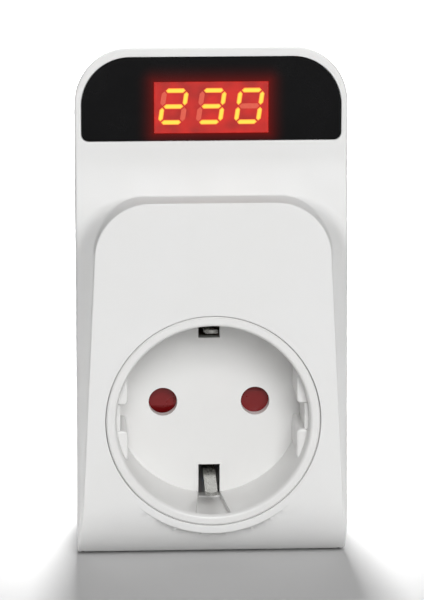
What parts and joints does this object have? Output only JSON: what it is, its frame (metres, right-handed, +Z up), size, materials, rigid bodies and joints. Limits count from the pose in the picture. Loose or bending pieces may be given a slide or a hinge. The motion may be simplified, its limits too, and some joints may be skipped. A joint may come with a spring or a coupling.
{
  "type": "plug-in voltage monitor with socket outlet",
  "caption": "Plug-through mains voltage monitor: round earthed plug on the back, shuttered outlet and red digital voltage display on the front.",
  "frame": {"origin": "on the common axis of the plug and the outlet, in the rear face that rests against the wall socket", "axes": "+Z up the housing from the outlet to the display, +Y out of the back along the plug pins, towards the wall, +X to the right as seen from the front"},
  "size_m": [0.0548, 0.08, 0.105],
  "materials": {
    "housing_plastic": "fine satin moulded ABS, white",
    "insert_plastic": "smooth white moulded polycarbonate",
    "window_black": "polished black acrylic",
    "display_red": "red display face",
    "segment_lit": "lit display segment",
    "segment_unlit": "unlit display segment",
    "shutter_red": "red moulded nylon",
    "inner_plastic": "off-white moulded nylon",
    "black_plastic": "black moulded plastic",
    "relay_blue": "blue relay case",
    "capacitor_yellow": "yellow capacitor case",
    "varistor_blue": "blue epoxy coating",
    "resistor_body": "grey-green resistor enamel",
    "circuit_board": "green solder mask",
    "capacitor_sleeve": "dark blue sleeve",
    "nickel_plated_brass": "nickel-plated brass",
    "bright_steel": "zinc-plated spring steel",
    "brass": "plain brass",
    "copper_winding": "enamelled copper wire",
    "soft_iron": "plated soft iron"
  },
  "bodies": {
    "housing": {"front_shell": "housing_plastic", "rear_shell": "housing_plastic", "display_window": "window_black", "led_display": "display_red", "lit_segments": "segment_lit", "unlit_segments": "segment_unlit", "display_board": "circuit_board", "microcontroller": "black_plastic", "main_board": "circuit_board", "board_header": "black_plastic", "relay_base": "black_plastic", "relay_cover": "relay_blue", "relay_coil": "copper_winding", "relay_yoke": "soft_iron", "relay_fixed_contact": "brass", "x2_capacitor": "capacitor_yellow", "electrolytic_capacitor": "capacitor_sleeve", "varistor": "varistor_blue", "dropper_resistors": "resistor_body", "rectifier": "black_plastic", "socket_insert": "insert_plastic", "insert_screws": "bright_steel", "shutter_spring": "bright_steel", "shutter_retainer": "inner_plastic", "contact_carrier": "inner_plastic", "line_contact": "brass", "neutral_contact": "brass", "earth_bridge": "brass", "housing_screws": "bright_steel", "pin_carrier": "inner_plastic", "plug_pin_line": "nickel_plated_brass", "plug_pin_neutral": "nickel_plated_brass", "plug_earth_strip_upper": "nickel_plated_brass", "plug_earth_strip_lower": "nickel_plated_brass", "line_bus_out": "brass", "line_bus_in": "brass", "neutral_bus": "brass"},
    "shutter": {"shutter": "shutter_red"},
    "earth_clip_upper": {"earth_clip_upper": "nickel_plated_brass"},
    "earth_clip_lower": {"earth_clip_lower": "nickel_plated_brass"},
    "relay_armature": {"relay_armature": "soft_iron"}
  },
  "joints": [
    {"name": "shutter_turn", "type": "hinge", "parent": "housing", "child": "shutter", "pos_m": [0, -0.0227, 0], "axis": [0, 1, 0], "range_deg": [0, 45], "stiffness_Nm_per_rad": 0.002, "springref_deg": -5.73},
    {"name": "earth_clip_upper_flex", "type": "hinge", "parent": "housing", "child": "earth_clip_upper", "pos_m": [0, -0.0076, 0.0134], "axis": [-1, 0, 0], "range_deg": [0, 4], "stiffness_Nm_per_rad": 0.5, "springref_deg": -1.15},
    {"name": "earth_clip_lower_flex", "type": "hinge", "parent": "housing", "child": "earth_clip_lower", "pos_m": [0, -0.0076, -0.0134], "axis": [1, 0, 0], "range_deg": [0, 4], "stiffness_Nm_per_rad": 0.5, "springref_deg": -1.15},
    {"name": "relay_armature_tilt", "type": "hinge", "parent": "housing", "child": "relay_armature", "pos_m": [-0.0026, -0.0211, 0.035], "axis": [0, 0, -1], "range_deg": [0, 1.6], "stiffness_Nm_per_rad": 0.05, "springref_deg": -1.15}
  ]
}
